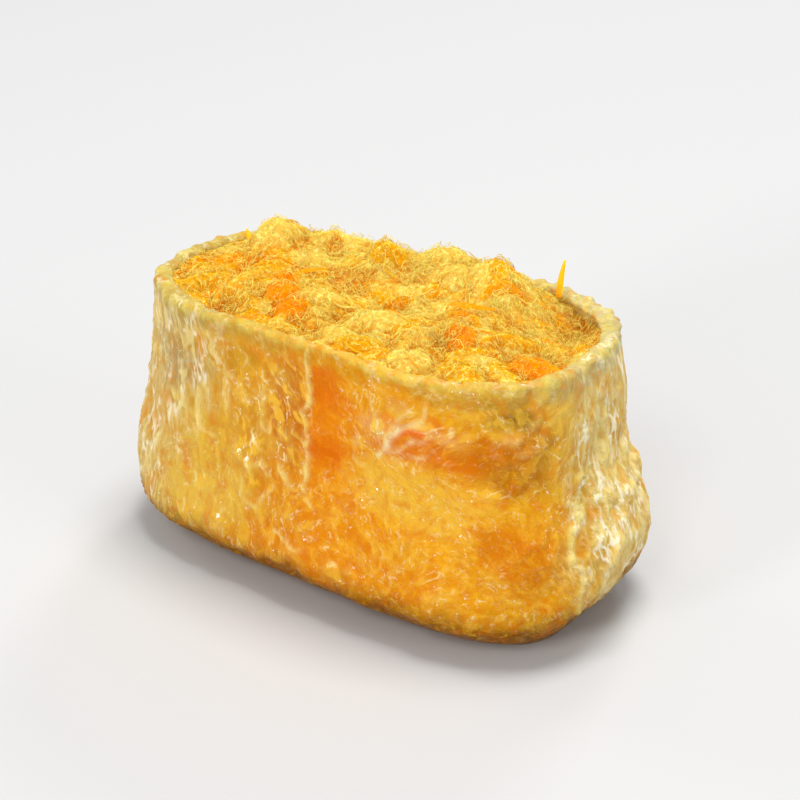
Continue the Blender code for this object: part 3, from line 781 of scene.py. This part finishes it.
def makeCore():
    # a grid bent to the mouth's outline, with its border drawn down the skin to the floor
    across, deep, steps = 420, 200, 7
    bm = bmesh.new()
    bmesh.ops.create_grid(bm, x_segments=across, y_segments=deep, size=1)
    border = [e for e in bm.edges if e.is_boundary]
    for step in range(steps):
        lower = bmesh.ops.extrude_edge_only(bm, edges=border)["geom"]
        for vert in (part for part in lower if isinstance(part, bmesh.types.BMVert)):
            vert.co.z -= 1
        border = [part for part in lower if isinstance(part, bmesh.types.BMEdge) and part.is_boundary]
    bmesh.ops.contextual_create(bm, geom=border)
    bmesh.ops.poke(bm, faces=[face for face in bm.faces if len(face.verts) > 4])
    bmesh.ops.recalc_face_normals(bm, faces=bm.faces)
    # the drawn sides come in no fixed order, so corners, edges and faces are put in one
    bm.verts.sort(key=lambda vert: orderKey(vert.co))
    bm.edges.sort(key=lambda edge: orderKey((edge.verts[0].co + edge.verts[1].co) / 2))
    bm.faces.sort(key=lambda face: orderKey(face.calc_center_median()))
    mesh = meshFrom(bm, "flossCore")
    u, v, level = pointsOf(mesh).T
    discX, discY = u * np.sqrt(1 - v * v / 2), v * np.sqrt(1 - u * u / 2)
    turn, spread = np.arctan2(discY, discX), np.hypot(discX, discY)
    inset = pouch["wall"] - 0.12
    x, y = outline(turn, np.ones_like(turn), inset)
    x, y = x * spread, y * spread
    z = readHeap("height", x, y)
    skirt = level < -0.5
    top = rimHeight(turn)
    share = 1 - (-level / steps) ** 0.8 * (1 - (pouch["floor"] + 0.2) / top)
    sideX, sideY = outline(turn, np.where(skirt, share, 1.0), inset + pouch["cornerWall"] * (1 - share) ** 2)
    x, y = np.where(skirt, sideX * spread, x), np.where(skirt, sideY * spread, y)
    z = np.where(skirt, np.minimum(share * top, z), z)
    moved = np.stack((x, y, z), axis=-1) * unit + slide
    mesh.vertices.foreach_set("co", moved.ravel())
    addColour(mesh, "flossColour", flossColours(x, y))
    addValue(mesh, "hairy", 1 - 0.8 * gentleStep(readHeap("warm", x, y), 0.35, 0.9))
    return placed("flossCore", mesh)


def fibreTemplate(sides, steps):
    # one closed fibre, as which ring and side each corner is on, and its faces
    bm = ringedTube(sides, steps + 1)
    bmesh.ops.recalc_face_normals(bm, faces=bm.faces)
    ring = np.array([round((v.co.z + 0.5) * steps) for v in bm.verts])
    side = np.array([round(math.atan2(v.co.y, v.co.x) / math.tau * sides) % sides for v in bm.verts])
    faces = [[v.index for v in face.verts] for face in bm.faces]
    bm.free()
    return ring, side, faces


def joinedFibres(name, lines, thickness, colour, sides):
    # lines is (fibre, step, xyz) in metres, thickness is (fibre, step), colour is (fibre, step, rgb)
    count, stops = lines.shape[:2]
    ring, side, faces = fibreTemplate(sides, stops - 1)
    ahead = np.gradient(lines, axis=1)
    ahead /= np.linalg.norm(ahead, axis=2, keepdims=True) + 1e-12
    guide = np.zeros((count, 1, 3))
    mean = ahead.mean(axis=1)
    guide[:, 0] = np.where(np.abs(mean[:, 2:]) > 0.7, (1.0, 0.0, 0.0), (0.0, 0.0, 1.0))
    first = np.cross(ahead, guide)
    first /= np.linalg.norm(first, axis=2, keepdims=True) + 1e-12
    second = np.cross(ahead, first)
    angle = side / sides * math.tau
    spoke = first[:, ring] * np.cos(angle)[None, :, None] + second[:, ring] * np.sin(angle)[None, :, None]
    corners = lines[:, ring] - spoke * thickness[:, ring][..., None]
    perFibre = len(ring)
    starts = np.concatenate(([0], np.cumsum([len(face) for face in faces])))
    loops = np.concatenate(faces)
    shift = np.arange(count)[:, None]
    mesh = bpy.data.meshes.new(name)
    mesh.vertices.add(count * perFibre)
    mesh.vertices.foreach_set("co", corners.ravel())
    mesh.loops.add(count * len(loops))
    mesh.loops.foreach_set("vertex_index", (loops[None] + shift * perFibre).ravel().astype(np.int32))
    mesh.polygons.add(count * len(faces))
    mesh.polygons.foreach_set("loop_start", (starts[None, :-1] + shift * len(loops)).ravel().astype(np.int32))
    mesh.update(calc_edges=True)
    addColour(mesh, "flossColour", colour[:, ring].reshape(-1, 3))
    return placed(name, mesh)


fibreKinds = {
    # how many, joints in each, sides, length and thickness in mm, how it swings and waves,
    # how high it stands, how far it strays from the run of its clump, how pale it is, how hollows draw it
    "flossDown": {"count": 8000, "steps": 2, "sides": 3, "length": (0.4, 1.0), "thick": 0.05,
                  "swing": 0.8, "waves": (0.4, 0.9), "stand": (0.05, 0.3), "stray": 1.2, "pale": 0.12,
                  "hollows": 0.2, "seed": 71},
    "flossCurls": {"count": 2700, "steps": 8, "sides": 3, "length": (1.0, 2.4), "thick": 0.07,
                   "swing": 2.3, "waves": (0.6, 1.3), "stand": (0.2, 1.0), "stray": 1.6, "pale": 0.9,
                   "hollows": 0.85, "seed": 72},
    "flossThreads": {"count": 260, "steps": 14, "sides": 3, "length": (2.5, 5.0), "thick": 0.08,
                     "swing": 1.6, "waves": (0.8, 2.0), "stand": (0.1, 0.7), "stray": 1.2, "pale": 0.8,
                     "hollows": 0.8, "seed": 73},
    "flossShreds": {"count": 90, "steps": 8, "sides": 6, "length": (1.6, 3.6), "thick": 0.2,
                    "swing": 0.3, "waves": (0.3, 0.6), "stand": (0.0, 0.2), "stray": 0.3, "pale": -0.2,
                    "hollows": 0.3, "seed": 74},
}
fibreCast = (0.80, 0.89, 0.86)  # leaves room for the glow that the loose fibres have
# shreds with their own place: start and end at drawn x, y and height in mm, thick at the start and end, colour
keyShreds = (
    ((16.2, 12.0, 33.6), (16.9, 12.0, 38.4), 0.95, 0.40, (250, 200, 30)),
    ((-21.2, 1.4, 34.6), (-22.0, 2.0, 35.9), 0.70, 0.35, (248, 186, 30)),
    ((11.4, 3.8, 36.0), (13.6, 7.4, 36.2), 0.75, 0.35, (238, 140, 0)),
    ((10.0, -0.6, 35.8), (15.0, 0.8, 35.9), 0.80, 0.35, (238, 142, 4)),
    ((-9.0, -4.2, 36.0), (-6.6, -2.6, 36.4), 0.55, 0.25, (238, 142, 4)),
)


def placedShreds(steps):
    t = np.linspace(0, 1, steps + 1)[:, None]
    lines, thickness, colour = [], [], []
    for start, end, wide, narrow, shredTone in keyShreds:
        start, end = np.array(start), np.array(end)
        line = start + (end - start) * t
        line[:, 0] += 0.06 * np.sin(math.tau * 0.7 * t[:, 0] + wide * 9)  # not quite straight
        lines.append(line * unit + slide)
        rounded = np.sin(math.pi * (0.06 + 0.88 * t[:, 0])) ** 0.3
        thickness.append((wide + (narrow - wide) * t[:, 0]) / 2 * mm * rounded)
        colour.append(np.tile(tone(*shredTone), (steps + 1, 1)))
    return np.array(lines), np.array(thickness), np.array(colour)


def scatterRoots(kind, chance):
    # places over the mouth, denser in the hollows for the fine curly kinds
    places = np.zeros((0, 2))
    while len(places) < kind["count"]:
        tries = chance.uniform((-28, -15.5), (28, 15.5), size=(kind["count"] * 2, 2))
        turn = np.arctan2(tries[:, 1], tries[:, 0])
        spread = np.hypot(*tries.T) / mouthReach(turn, pouch["wall"])
        shade = readHeap("shade", *tries.T)
        wanted = 1 - kind["hollows"] * (1 - shade)
        places = np.concatenate((places, tries[(spread < 0.97) & (chance.random(len(tries)) < wanted)]))
    return places[: kind["count"]]


def fibreLines(kind):
    chance = np.random.default_rng(kind["seed"])
    count, steps = kind["count"], kind["steps"]
    root = scatterRoots(kind, chance)
    t = np.linspace(0, 1, steps + 1)[None]
    length = chance.uniform(*kind["length"], size=(count, 1))
    heading = readHeap("heading", *root.T) + chance.normal(0, kind["stray"], count)
    heading = heading + math.pi * chance.integers(0, 2, count)
    waves = chance.uniform(*kind["waves"], size=(count, 1))
    phase = chance.uniform(0, math.tau, size=(count, 2))
    swing = kind["swing"] * chance.uniform(0.4, 1.3, size=(count, 1))
    angle = heading[:, None] + swing * np.sin(math.tau * waves * t + phase[:, :1])
    angle = angle + 0.4 * swing * np.sin(math.tau * 2.3 * waves * t + phase[:, 1:])
    step = length / steps
    x = root[:, :1] + np.cumsum(step * np.cos(angle), axis=1) - step * np.cos(angle[:, :1])
    y = root[:, 1:] + np.cumsum(step * np.sin(angle), axis=1) - step * np.sin(angle[:, :1])
    # a fibre that would run into the skin is drawn back from it
    turn = np.arctan2(y, x)
    spread = np.hypot(x, y) / mouthReach(turn, pouch["wall"])
    back = np.minimum(1, 0.985 / np.maximum(spread, 1e-6))
    x, y = x * back, y * back
    stand = chance.uniform(*kind["stand"], size=(count, 1))
    wobble = 0.5 + 0.5 * np.sin(math.tau * 1.4 * waves * t + phase[:, 1:])
    z = readHeap("height", x, y)
    # fibres bridge the narrow crevices instead of diving into them
    z = 0.55 * z + 0.45 * np.maximum(z, z.mean(axis=1, keepdims=True))
    z = z + kind["thick"] * 0.4 + stand * (0.35 * wobble + np.sin(math.pi * t) * 0.65)
    z[:, 0] -= 0.12
    lines = np.stack((x, y, z), axis=-1) * unit + slide
    taper = 0.35 + 0.65 * np.sin(math.pi * (0.12 + 0.8 * t)) ** 0.7
    thickness = kind["thick"] / 2 * mm * taper * chance.uniform(0.7, 1.35, size=(count, 1))
    colour = flossColours(x[:, :1] + 0 * x, y[:, :1] + 0 * y)
    if kind["pale"] > 0:
        # painted shade: a fibre is paler where it stands clear of the heap, and keeps the heap's darker colour down
        # near it
        clear = gentleStep(z - readHeap("height", x, y), 0.05, 0.45)
        share = kind["pale"] * chance.uniform(0.4, 1.6, size=(count, 1)) * (0.25 + 0.75 * clear)
        colour = mixed(colour, flossTones["fibre"], np.clip(share, 0, 1))
    else:
        share = np.clip(-kind["pale"] * chance.uniform(0, 3, size=(count, 1)), 0, 1) + 0 * t
        colour = mixed(colour, flossTones["orange"], share)
    colour = colour * chance.uniform(0.85, 1.1, size=(count, 1, 1)) * fibreCast
    return lines, thickness, colour


def setSockets(tree, node, sockets):
    # a link for each socket that is given one, and a fixed value for the others
    for socket, given in sockets.items():
        if isinstance(given, bpy.types.NodeSocket):
            tree.links.new(given, node.inputs[socket])
        else:
            node.inputs[socket].default_value = given


def newNode(tree, kind, sockets=None, **settings):
    node = tree.nodes.new(kind)
    for key, value in settings.items():
        setattr(node, key, value)
    setSockets(tree, node, sockets or {})
    return node


def noise(tree, vector, scale, detail, roughness=0.5, distortion=0.0, output="Fac"):
    return newNode(tree, "ShaderNodeTexNoise", {
        "Vector": vector, "Scale": scale, "Detail": detail, "Roughness": roughness, "Distortion": distortion,
    }).outputs[output]


def moveVector(tree, operation, sockets):
    return newNode(tree, "ShaderNodeVectorMath", sockets, operation=operation).outputs[0]


def attribute(tree, name, output="Fac"):
    return newNode(tree, "ShaderNodeAttribute", attribute_name=name).outputs[output]


def mixColour(tree, factor, first, second, blend="MIX"):
    first, second = (given if isinstance(given, bpy.types.NodeSocket) else (*given, 1) for given in (first, second))
    return newNode(tree, "ShaderNodeMix", {0: factor, 6: first, 7: second}, data_type="RGBA",
                   blend_type=blend, clamp_factor=True).outputs[2]


def calculate(tree, operation, first, *others):
    # the first value, then each of the others worked into it in turn
    for other in others:
        first = newNode(tree, "ShaderNodeMath", {0: first, 1: other}, operation=operation).outputs[0]
    return first


def ranged(tree, value, low, high, toLow=0.0, toHigh=1.0):
    return newNode(tree, "ShaderNodeMapRange", {
        "Value": value, "From Min": low, "From Max": high, "To Min": toLow, "To Max": toHigh,
    }, interpolation_type="SMOOTHSTEP").outputs["Result"]


# the strokes of filament: their spacing, where one begins and is full, how far they wander, how often they break
strokeLooks = {
    "front": {"Scale": 1.05, "Low": 0.92, "High": 1.45, "Wander": 0.5, "Breaks": 1.1},
    "ends": {"Scale": 1.3, "Low": 0.6, "High": 1.25, "Wander": 0.7, "Breaks": 0.9},
    "hair": {"Scale": 0.9, "Low": 0.35, "High": 1.1, "Wander": 1.6, "Breaks": 0.7},
}


def filamentGroup():
    # short strokes of filament: a mask that is 1 on a stroke and 0 between them
    group = bpy.data.node_groups.new("skinFilaments", "ShaderNodeTree")
    side = group.interface
    side.new_socket("Vector", in_out="INPUT", socket_type="NodeSocketVector")
    for name, start in strokeLooks["front"].items():
        side.new_socket(name, in_out="INPUT", socket_type="NodeSocketFloat").default_value = start
    side.new_socket("Mask", in_out="OUTPUT", socket_type="NodeSocketFloat")
    into = newNode(group, "NodeGroupInput").outputs
    swirl = noise(group, into["Vector"], 0.45, 2.0, output="Color")
    middle = moveVector(group, "SUBTRACT", {0: swirl, 1: (0.5, 0.5, 0.5)})
    push = moveVector(group, "SCALE", {0: middle, "Scale": into["Wander"]})
    moved = moveVector(group, "ADD", {0: into["Vector"], 1: push})
    crests = newNode(group, "ShaderNodeTexNoise", {
        "Vector": moved, "Scale": into["Scale"], "Detail": 1.5, "Roughness": 0.5, "Lacunarity": 2.1,
        "Offset": 1.0, "Gain": 2.0,
    }, noise_type="RIDGED_MULTIFRACTAL", normalize=True).outputs["Fac"]
    line = ranged(group, crests, into["Low"], into["High"])
    keep = ranged(group, noise(group, moved, 0.5, 2.0), 0.42, 0.6, 0.08, 1.0)
    whole = ranged(group, noise(group, into["Vector"], into["Breaks"], 1.0), 0.44, 0.56)
    newNode(group, "NodeGroupOutput", {"Mask": calculate(group, "MULTIPLY", line, keep, whole)})
    return group


def filamentMask(tree, filaments, vector, look):
    return newNode(tree, "ShaderNodeGroup", {"Vector": vector, **strokeLooks[look]},
                   node_tree=filaments).outputs["Mask"]


def startMaterial(name, tintName):
    # a material, its nodes and shader, places on the object in mm, and the colour painted on its points
    material = bpy.data.materials.new(name)
    material.use_nodes = True
    tree = material.node_tree
    place = newNode(tree, "ShaderNodeTexCoord").outputs["Object"]
    inMm = newNode(tree, "ShaderNodeMapping", {"Vector": place, "Scale": (1 / mm, 1 / mm, 1 / mm)}).outputs[0]
    return material, tree, tree.nodes["Principled BSDF"], inMm, attribute(tree, tintName, "Color")


skinFinish = {
    # noises: scale per mm, detail, roughness, distortion
    "petals": (0.6, 3.0, 0.6, 0.5),
    "mottle": (0.8, 5.0, 0.62, 0.6),
    "wet": (1.8, 4.0, 0.65),
    "pores": (2.8, 3.0, 0.6),
    # tones of the front, then of the ends
    "deeper": (tone(206, 112, 0), tone(206, 142, 22)),
    "flake": (tone(246, 196, 62), tone(240, 220, 146)),
    "pool": (tone(212, 108, 0), tone(210, 132, 8)),
    "thread": (tone(254, 238, 174), tone(250, 244, 214)),
    # how much of each on the front, then on the ends
    "flakes": (0.5, 0.6), "flakeRise": (0.15, 0.9), "pools": (0.3, 0.5), "threads": (0.75, 0.8), "film": (1.0, 0.25),
    "paler": tone(240, 184, 30),
    # the tone of the painted glints
    "paintedGlintTone": tone(255, 248, 226),
    "bump": {"Strength": 0.7, "Distance": 0.0002},
    "shader": {"Coat Roughness": 0.12, "Subsurface Weight": 0.3, "Subsurface Radius": (1.0, 0.5, 0.15),
               "Subsurface Scale": 0.0007, "Specular IOR Level": 0.04},
}


def makeSkinMaterial(filaments):
    material, tree, shader, inMm, tint = startMaterial("simmeredTofuSkin", "skinColour")
    grain = attribute(tree, "grain", "Vector")
    ends = attribute(tree, "ends")
    cover = attribute(tree, "veil")

    def times(*values):
        return calculate(tree, "MULTIPLY", *values)

    def byEnds(key):
        # the front's tone or share, going over to that of the ends
        front, end = skinFinish[key]
        return mixColour(tree, ends, front, end) if np.ndim(front) else ranged(tree, ends, 0.0, 1.0, front, end)

    petals = noise(tree, grain, *skinFinish["petals"])
    flakes = ranged(tree, petals, 0.5, 0.62)
    pools = ranged(tree, petals, 0.48, 0.34)
    frontVeil = times(filamentMask(tree, filaments, grain, "front"), calculate(tree, "SUBTRACT", 1.0, ends))
    endVeil = times(filamentMask(tree, filaments, grain, "ends"), ends)
    veils = times(calculate(tree, "ADD", frontVeil, endVeil), cover)

    mottle = noise(tree, inMm, *skinFinish["mottle"])
    colour = mixColour(tree, ranged(tree, mottle, 0.50, 0.68, 0.0, 0.4), tint, byEnds("deeper"))
    colour = mixColour(tree, ranged(tree, mottle, 0.47, 0.33, 0.0, 0.3), colour, skinFinish["paler"])
    colour = mixColour(tree, times(flakes, cover, byEnds("flakes")), colour, byEnds("flake"))
    colour = mixColour(tree, times(pools, byEnds("pools")), colour, byEnds("pool"))
    colour = mixColour(tree, times(veils, byEnds("threads")), colour, byEnds("thread"))
    wet = noise(tree, inMm, *skinFinish["wet"])
    # painted glints: near-white specks where the wet noise peaks, standing in for highlights on the wet skin
    paintedGlints = times(ranged(tree, wet, 0.66, 0.72, 0.0, 0.8), ranged(tree, cover, 0.1, 0.5))
    colour = mixColour(tree, paintedGlints, colour, skinFinish["paintedGlintTone"])

    pores = noise(tree, grain, *skinFinish["pores"])
    height = calculate(tree, "ADD", times(veils, 0.6), times(pores, 0.9), times(flakes, byEnds("flakeRise")))
    bump = newNode(tree, "ShaderNodeBump", {"Height": height, **skinFinish["bump"]})
    spots = ranged(tree, wet, 0.56, 0.62, 0.02, 1.0)
    setSockets(tree, shader, {
        "Base Color": colour,
        "Normal": bump.outputs["Normal"],
        "Roughness": ranged(tree, wet, 0.4, 0.6, 0.5, 0.3),
        "Coat Weight": times(spots, ranged(tree, cover, 0.0, 0.5, 0.3, 1.0), byEnds("film")),
        **skinFinish["shader"],
    })
    return material


flossFinish = {
    # noises: scale per mm, detail, roughness, distortion
    "fleck": (4.0, 3.0, 0.7, 0.8),
    "strands": (5.0, 4.0, 0.7, 1.5),
    "light": tone(255, 224, 112),
    "dark": tone(250, 150, 4),
    "gap": tone(230, 144, 0),
    "hair": tone(242, 230, 128),
    "glow": (1.0, 0.5, 0.1),  # what the loose fibres' own colour is multiplied by
    "bump": {"Strength": 0.6, "Distance": 0.00015},
    "felted": {"Subsurface Weight": 0.9},
    "loose": {"Subsurface Weight": 0.0, "Emission Strength": 0.26},
    "shader": {"Subsurface Radius": (1.0, 0.7, 0.15), "Subsurface Scale": 0.0012, "Specular IOR Level": 0.0},
}


def makeFlossMaterial(name, felted, filaments):
    material, tree, shader, inMm, tint = startMaterial(name, "flossColour")
    fleck = noise(tree, inMm, *flossFinish["fleck"])
    colour = mixColour(tree, ranged(tree, fleck, 0.5, 0.72, 0.0, 0.5), tint, flossFinish["light"])
    colour = mixColour(tree, ranged(tree, fleck, 0.48, 0.3, 0.0, 0.3), colour, flossFinish["dark"])
    if felted:
        # fine pale fibres over deeper golden gaps
        hair = filamentMask(tree, filaments, moveVector(tree, "SCALE", {0: inMm, "Scale": 3.0}), "hair")
        colour = mixColour(tree, ranged(tree, hair, 0.0, 0.3, 0.45, 0.0), colour, flossFinish["gap"])
        shown = calculate(tree, "MULTIPLY", hair, attribute(tree, "hairy"), 0.8)
        colour = mixColour(tree, shown, colour, flossFinish["hair"])
        height = calculate(tree, "ADD", noise(tree, inMm, *flossFinish["strands"]), hair)
        bump = newNode(tree, "ShaderNodeBump", {"Height": height, **flossFinish["bump"]})
        setSockets(tree, shader, {"Normal": bump.outputs["Normal"], **flossFinish["felted"]})
    else:
        # the loose fibres glow in their own warmed colour: painted light that stands in for the light passing through
        # the thin fibres, so they stay bright inside the heap
        glow = mixColour(tree, 1.0, colour, flossFinish["glow"], "MULTIPLY")
        setSockets(tree, shader, {"Emission Color": glow, **flossFinish["loose"]})
    roughness = ranged(tree, fleck, 0.3, 0.7, 0.55, 0.8)
    setSockets(tree, shader, {"Base Color": colour, "Roughness": roughness, **flossFinish["shader"]})
    return material


strokes = filamentGroup()
wallFinish = makeSkinMaterial(strokes)
coreFinish = makeFlossMaterial("feltedFloss", True, strokes)
fibreFinish = makeFlossMaterial("looseFloss", False, strokes)
print("materials ready")

wall = makePouch()
wall.data.materials.append(wallFinish)
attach(wall, "root")
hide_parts("tofu_pouch")
print("pouch", len(wall.data.polygons), "faces")

core = makeCore()
core.data.materials.append(coreFinish)
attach(core, "root")
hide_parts("floss_filling")
print("core", len(core.data.polygons), "faces")

for name, kind in fibreKinds.items():
    drawn = fibreLines(kind)
    if name == "flossShreds":
        drawn = [np.concatenate(both) for both in zip(drawn, placedShreds(kind["steps"]))]
    fibres = joinedFibres(name, *drawn, kind["sides"])
    fibres.data.materials.append(fibreFinish)
    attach(fibres, "root")
    print(name, len(fibres.data.polygons), "faces")


middle = (cadLow + cadHigh) / 2
stage = {"floorSize": 4.0, "floorTone": (200, 200, 200), "sky": (1.0, 1.0, 1.0), "skyStrength": 0.42}
# name, place in metres from the middle, size, power
lamps = (
    ("top", (0.05, 0.10, 0.75), 0.35, 4.3),
    ("back", (-0.15, 0.60, 0.45), 0.20, 1.2),
    ("left", (-0.60, 0.00, 0.30), 0.20, 0.4),
    ("right", (0.60, 0.00, 0.22), 0.22, 0.7),
    ("front", (-0.16, -0.68, 0.16), 0.18, 2.0),
    ("frontHigh", (0.15, -0.55, 0.55), 0.22, 1.2),
)


def makeStage():
    bm = bmesh.new()
    bmesh.ops.create_grid(bm, x_segments=8, y_segments=8, size=stage["floorSize"] / 2)
    mesh = meshFrom(bm, "floor")
    material = bpy.data.materials.new("paleFloor")
    material.use_nodes = True
    tree = material.node_tree
    setSockets(tree, tree.nodes["Principled BSDF"], {"Base Color": (*tone(*stage["floorTone"]), 1), "Roughness": 0.9})
    mesh.materials.append(material)
    floor = placed("floor", mesh, smooth=False)
    world = bpy.data.worlds.new("softSky")
    world.use_nodes = True
    sky = {"Color": (*stage["sky"], 1), "Strength": stage["skyStrength"]}
    setSockets(world.node_tree, world.node_tree.nodes["Background"], sky)
    bpy.context.scene.world = world
    for name, offset, size, power in lamps:
        light = bpy.data.lights.new(name, "AREA")
        light.shape = "DISK"
        light.size = size
        light.energy = power
        lamp = bpy.data.objects.new(name, light)
        lamp.location = middle + Vector(offset)
        lamp.rotation_euler = (middle - lamp.location).to_track_quat("-Z", "Y").to_euler()
        bpy.context.scene.collection.objects.link(lamp)


view = {
    "turn": 36.16, "lift": 27.92,  # degrees to the right of the front, and above level
    "away": 0.261,  # metres from the aim
    "aim": (-0.3, 3.05, -0.35),  # mm from the middle
    "lens": 98.5, "sensor": 36,
}


def makeCamera():
    turn, lift = math.radians(view["turn"]), math.radians(view["lift"])
    aim = middle + Vector(view["aim"]) * mm
    back = Vector((math.sin(turn) * math.cos(lift), -math.cos(turn) * math.cos(lift), math.sin(lift)))
    lens = bpy.data.cameras.new("camera")
    lens.lens = view["lens"]
    lens.sensor_width = view["sensor"]
    camera = bpy.data.objects.new("camera", lens)
    camera.location = aim + back * view["away"]
    camera.rotation_euler = back.to_track_quat("Z", "Y").to_euler()
    bpy.context.scene.collection.objects.link(camera)
    bpy.context.scene.camera = camera


makeStage()
makeCamera()
bpy.context.scene.view_settings.view_transform = "Standard"
print("floor, lamps and camera ready")
